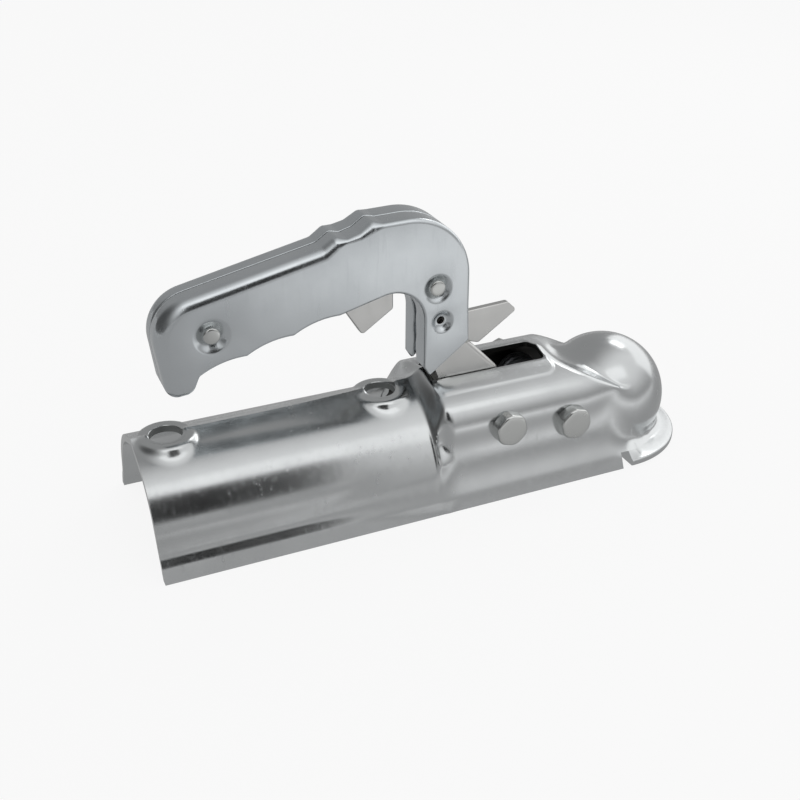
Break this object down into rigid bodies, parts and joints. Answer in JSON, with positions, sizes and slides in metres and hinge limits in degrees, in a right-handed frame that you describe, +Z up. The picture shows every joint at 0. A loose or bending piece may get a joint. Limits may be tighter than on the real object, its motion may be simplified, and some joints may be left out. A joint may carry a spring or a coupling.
{
  "type": "trailer coupling head",
  "caption": "Ball coupling head for a round trailer drawbar: pressed zinc-plated housing, split-shell hand lever with finger catch, and a jaw that closes behind the tow ball.",
  "frame": {"origin": "centre of the tow ball when it is seated in the socket", "axes": "+X forward to the towing vehicle, +Y to the left, +Z up away from the road"},
  "size_m": [0.247, 0.0807, 0.1184],
  "materials": {
    "zinc_sheet": "bright zinc plate, semi-gloss",
    "zinc_bolt": "bright zinc plate, semi-gloss",
    "lever_steel": "zinc plate, satin",
    "jaw_iron": "dark phosphated",
    "bush_steel": "turned",
    "spring_steel": "dark drawn wire"
  },
  "bodies": {
    "housing": {"housing": "zinc_sheet", "rear_bolt": "zinc_bolt", "front_bolt": "zinc_bolt", "rear_nut": "zinc_bolt", "front_nut": "zinc_bolt", "rear_washer": "zinc_bolt", "front_washer": "zinc_bolt", "lever_bush": "bush_steel", "jaw_bush": "bush_steel", "jaw_spring": "spring_steel"},
    "handle": {"handle_right_shell": "zinc_sheet", "handle_left_shell": "zinc_sheet", "lever": "lever_steel", "grip_rivet": "zinc_bolt", "neck_rivet": "zinc_bolt", "grip_spacer": "bush_steel", "catch_spacer_right": "bush_steel", "catch_spacer_left": "bush_steel", "catch_spring": "spring_steel"},
    "catch": {"catch_plate": "lever_steel"},
    "jaw": {"ball_jaw": "jaw_iron"}
  },
  "joints": [
    {"name": "handle_swing", "type": "hinge", "parent": "housing", "child": "handle", "pos_m": [-0.0648, 0, 0.0117], "axis": [0, 1, 0], "range_deg": [0, 36]},
    {"name": "jaw_swing", "type": "hinge", "parent": "housing", "child": "jaw", "pos_m": [-0.0338, 0, 0.0076], "axis": [0, 1, 0], "range_deg": [0, 25]},
    {"name": "catch_squeeze", "type": "hinge", "parent": "handle", "child": "catch", "pos_m": [-0.0893, 0, 0.0709], "axis": [0, 1, 0], "range_deg": [0, 6], "stiffness_Nm_per_rad": 1, "springref_deg": -5.73}
  ],
  "couplings": [
    {"joint": "jaw_swing", "follows": "handle_swing", "ratio": 0.69}
  ]
}
